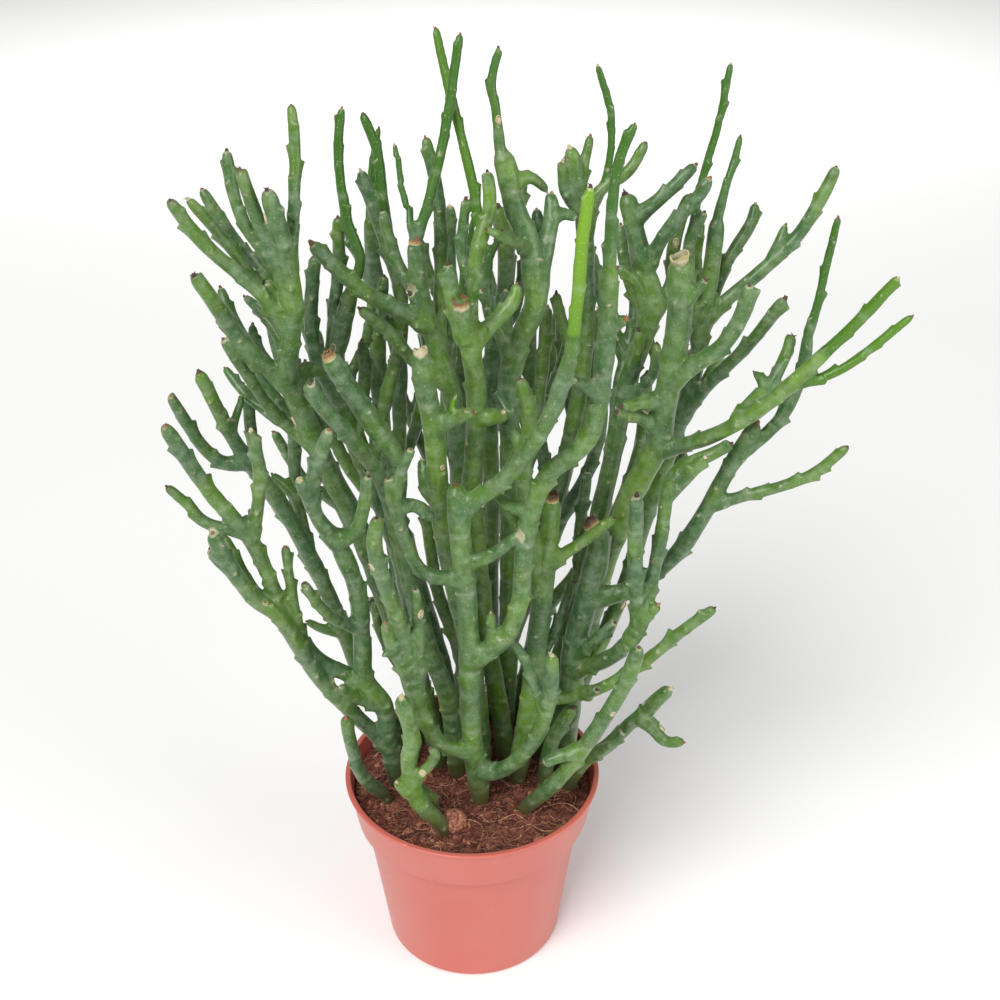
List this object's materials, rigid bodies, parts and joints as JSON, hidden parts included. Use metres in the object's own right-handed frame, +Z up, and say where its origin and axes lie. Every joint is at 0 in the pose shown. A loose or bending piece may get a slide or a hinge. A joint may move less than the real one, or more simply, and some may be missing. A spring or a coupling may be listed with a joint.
{
  "type": "potted euphorbia",
  "caption": "Bushy jointless succulent with many upright branching pencil stems, rooted in soil in a round collared plastic nursery pot.",
  "frame": {"origin": "centre of the pot's underside, on the surface that it stands on", "axes": "+Z up the plant, +X to the right and +Y away, seen from the plant's front"},
  "size_m": [0.3987, 0.2802, 0.598],
  "materials": {
    "pot_plastic": "satin injection-moulded terracotta-coloured plastic",
    "coir_soil": "loose fibrous coir compost",
    "succulent_stem": "matte waxy green succulent skin"
  },
  "bodies": {
    "root": {"pot": "pot_plastic", "soil": "coir_soil", "stem_front_centre": "succulent_stem", "shoot_left_rim": "succulent_stem", "stem_front_left": "succulent_stem", "stem_left": "succulent_stem", "stem_left_back": "succulent_stem", "stem_upper_left": "succulent_stem", "stem_front_fork": "succulent_stem", "stem_centre_left": "succulent_stem", "stem_centre": "succulent_stem", "stem_centre_back": "succulent_stem", "stem_tall_left": "succulent_stem", "stem_crown_left": "succulent_stem", "stem_centre_right": "succulent_stem", "stem_right": "succulent_stem", "stem_bright_right": "succulent_stem", "stem_right_back": "succulent_stem", "stem_upper_right": "succulent_stem", "stem_far_top": "succulent_stem", "stem_front_right": "succulent_stem", "stem_right_low": "succulent_stem", "stub_right": "succulent_stem", "stem_back_left": "succulent_stem", "stem_back_right": "succulent_stem", "stem_back_centre": "succulent_stem", "stem_back_outer_left": "succulent_stem", "stem_back_outer": "succulent_stem"}
  },
  "joints": []
}
